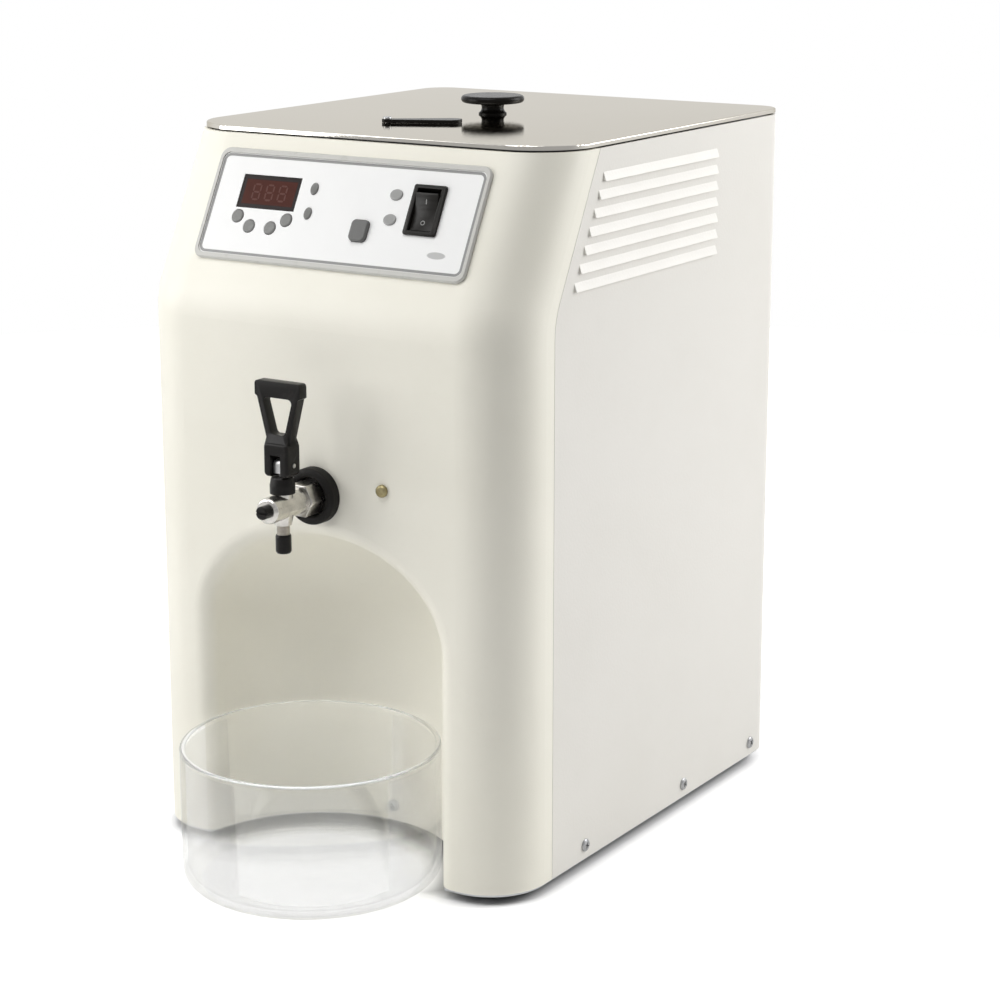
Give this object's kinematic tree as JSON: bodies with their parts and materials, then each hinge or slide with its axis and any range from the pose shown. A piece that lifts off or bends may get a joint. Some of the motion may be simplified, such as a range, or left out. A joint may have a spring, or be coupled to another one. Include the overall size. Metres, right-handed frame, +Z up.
{
  "type": "paraffin wax dispenser",
  "caption": "Bench paraffin wax dispenser with heated tank, lever tap over a scooped niche, sloping control panel, lift-off lid and a glass dish under the spout",
  "frame": {"origin": "bottom centre of the bounding box of the whole object, on the bench", "axes": "+Z up, the tap and the panel face -Y, +X is on the right of a viewer who stands in front"},
  "size_m": [0.2482, 0.386, 0.4108],
  "materials": {
    "housing_plastic": "fine satin moulding, warm off-white",
    "housing_sheet": "satin powder coat, warm off-white",
    "lid_steel": "polished stainless sheet",
    "vent_black": "satin black moulding",
    "knob_plastic": "black phenolic",
    "zinc_sheet": "bright zinc plate",
    "tank_metal": "drawn and lightly brushed",
    "jacket_foam": "glass wool jacket",
    "heater_pad": "silicone heater mat",
    "probe_steel": "turned",
    "thermostat_black": "phenolic",
    "nickel": "dull nickel plate",
    "nut_metal": "plated, slightly worn",
    "black_rubber": "moulded rubber",
    "heater_block": "milled block",
    "black_plastic": "satin black moulding",
    "lever_plastic": "satin black moulding",
    "spout_metal": "dull waxed tube",
    "steel_stem": "turned stainless",
    "seat_rubber": "silicone",
    "spring_steel": "drawn wire",
    "brass_stud": "turned brass, dull",
    "bezel_grey": "grey frame",
    "plate_white": "printed film on plate",
    "display_red": "dark red filter",
    "module_black": "moulded module",
    "key_grey": "moulded key",
    "lens_grey": "clouded lens",
    "lamp_amber": "unlit lens",
    "button_grey": "moulded cap",
    "switch_frame": "black moulding",
    "switch_rocker": "black moulding",
    "board_green": "solder mask",
    "component_black": "moulded components",
    "pillar_nylon": "nylon",
    "transformer_core": "lacquered laminations and tape",
    "terminal_cream": "polyamide",
    "inlet_black": "black moulding",
    "gasket_silicone": "silicone strip",
    "screw_zinc": "zinc plate",
    "dish_glass": "clear borosilicate",
    "foot_rubber": "moulded feet"
  },
  "bodies": {
    "housing": {"front_fascia": "housing_plastic", "niche_scoop": "housing_plastic", "side_cover_left": "housing_sheet", "side_cover_right": "housing_sheet", "rear_panel": "housing_sheet", "base_pan": "zinc_sheet", "feet": "foot_rubber", "foot_screws": "screw_zinc", "corner_posts": "zinc_sheet", "top_frame": "zinc_sheet", "wax_tank": "tank_metal", "tank_jacket": "jacket_foam", "tank_heater": "heater_pad", "temperature_probe": "probe_steel", "cutout_thermostat": "thermostat_black", "tap_shank": "nickel", "shank_nuts": "nut_metal", "shank_washer": "black_rubber", "wall_ring": "black_rubber", "tap_heater": "heater_block", "tap_body": "nickel", "cleaning_plug": "black_plastic", "tap_bonnet": "black_plastic", "spout_tube": "spout_metal", "nozzle_tip": "black_plastic", "valve_spring": "spring_steel", "front_stud": "brass_stud", "control_bezel": "bezel_grey", "control_plate": "plate_white", "display_window": "display_red", "display_module": "module_black", "indicator_lenses": "lens_grey", "pilot_lamps": "lamp_amber", "rocker_frame": "switch_frame", "control_board": "board_green", "board_pillars": "pillar_nylon", "board_components": "component_black", "transformer": "transformer_core", "terminal_block": "terminal_cream", "power_inlet": "inlet_black", "cover_screws": "screw_zinc", "rear_screws": "screw_zinc", "lid_gasket": "gasket_silicone"},
    "lid": {"lid": "lid_steel", "lid_knob": "knob_plastic", "knob_screw": "screw_zinc", "vent_screw": "screw_zinc"},
    "vent": {"vent_cover": "vent_black"},
    "valve": {"valve_stem": "steel_stem", "seat_washer": "seat_rubber", "lever_pin": "steel_stem"},
    "lever": {"tap_lever": "lever_plastic"},
    "key_1_body": {"key_1": "key_grey"},
    "key_2_body": {"key_2": "key_grey"},
    "key_3_body": {"key_3": "key_grey"},
    "key_4_body": {"key_4": "key_grey"},
    "button_body": {"push_button": "button_grey"},
    "rocker": {"rocker_switch": "switch_rocker"},
    "drawer": {"fuse_drawer": "inlet_black"},
    "dish": {"catch_dish": "dish_glass"}
  },
  "joints": [
    {"name": "lid_lift", "type": "slide", "parent": "housing", "child": "lid", "axis": [0, 0, 1], "range_m": [0, 0.08]},
    {"name": "vent_swing", "type": "hinge", "parent": "lid", "child": "vent", "pos_m": [-0.024, -0.008, 0.401], "axis": [0, 0, 1], "range_deg": [0, 75]},
    {"name": "stem_lift", "type": "slide", "parent": "housing", "child": "valve", "axis": [0, 0, 1], "range_m": [0, 0.0025], "deforming": ["valve_spring"]},
    {"name": "lever_tilt", "type": "hinge", "parent": "valve", "child": "lever", "pos_m": [0, -0.1425, 0.236], "axis": [1, 0, 0], "range_deg": [0, 28], "stiffness_Nm_per_rad": 0.12},
    {"name": "rocker_tip", "type": "hinge", "parent": "housing", "child": "rocker", "pos_m": [0.0533, -0.08023, 0.36274], "axis": [1, 0, 0], "range_deg": [-18, 0]},
    {"name": "key_1_press", "type": "slide", "parent": "housing", "child": "key_1_body", "axis": [0, 0.8821, -0.4711], "range_m": [0, 0.0008], "stiffness_N_per_m": 400},
    {"name": "key_2_press", "type": "slide", "parent": "housing", "child": "key_2_body", "axis": [0, 0.8821, -0.4711], "range_m": [0, 0.0008], "stiffness_N_per_m": 400},
    {"name": "key_3_press", "type": "slide", "parent": "housing", "child": "key_3_body", "axis": [0, 0.8821, -0.4711], "range_m": [0, 0.0008], "stiffness_N_per_m": 400},
    {"name": "key_4_press", "type": "slide", "parent": "housing", "child": "key_4_body", "axis": [0, 0.8821, -0.4711], "range_m": [0, 0.0008], "stiffness_N_per_m": 400},
    {"name": "button_press", "type": "slide", "parent": "housing", "child": "button_body", "axis": [0, 0.8821, -0.4711], "range_m": [0, 0.0015], "stiffness_N_per_m": 300},
    {"name": "drawer_pull", "type": "slide", "parent": "housing", "child": "drawer", "axis": [0, 1, 0], "range_m": [0, 0.016]},
    {"name": "dish_slide", "type": "slide", "parent": "housing", "child": "dish", "axis": [0, -1, 0], "range_m": [0, 0.19]}
  ],
  "couplings": [
    {"joint": "stem_lift", "follows": "lever_tilt", "m_per_rad": 0.0051}
  ]
}
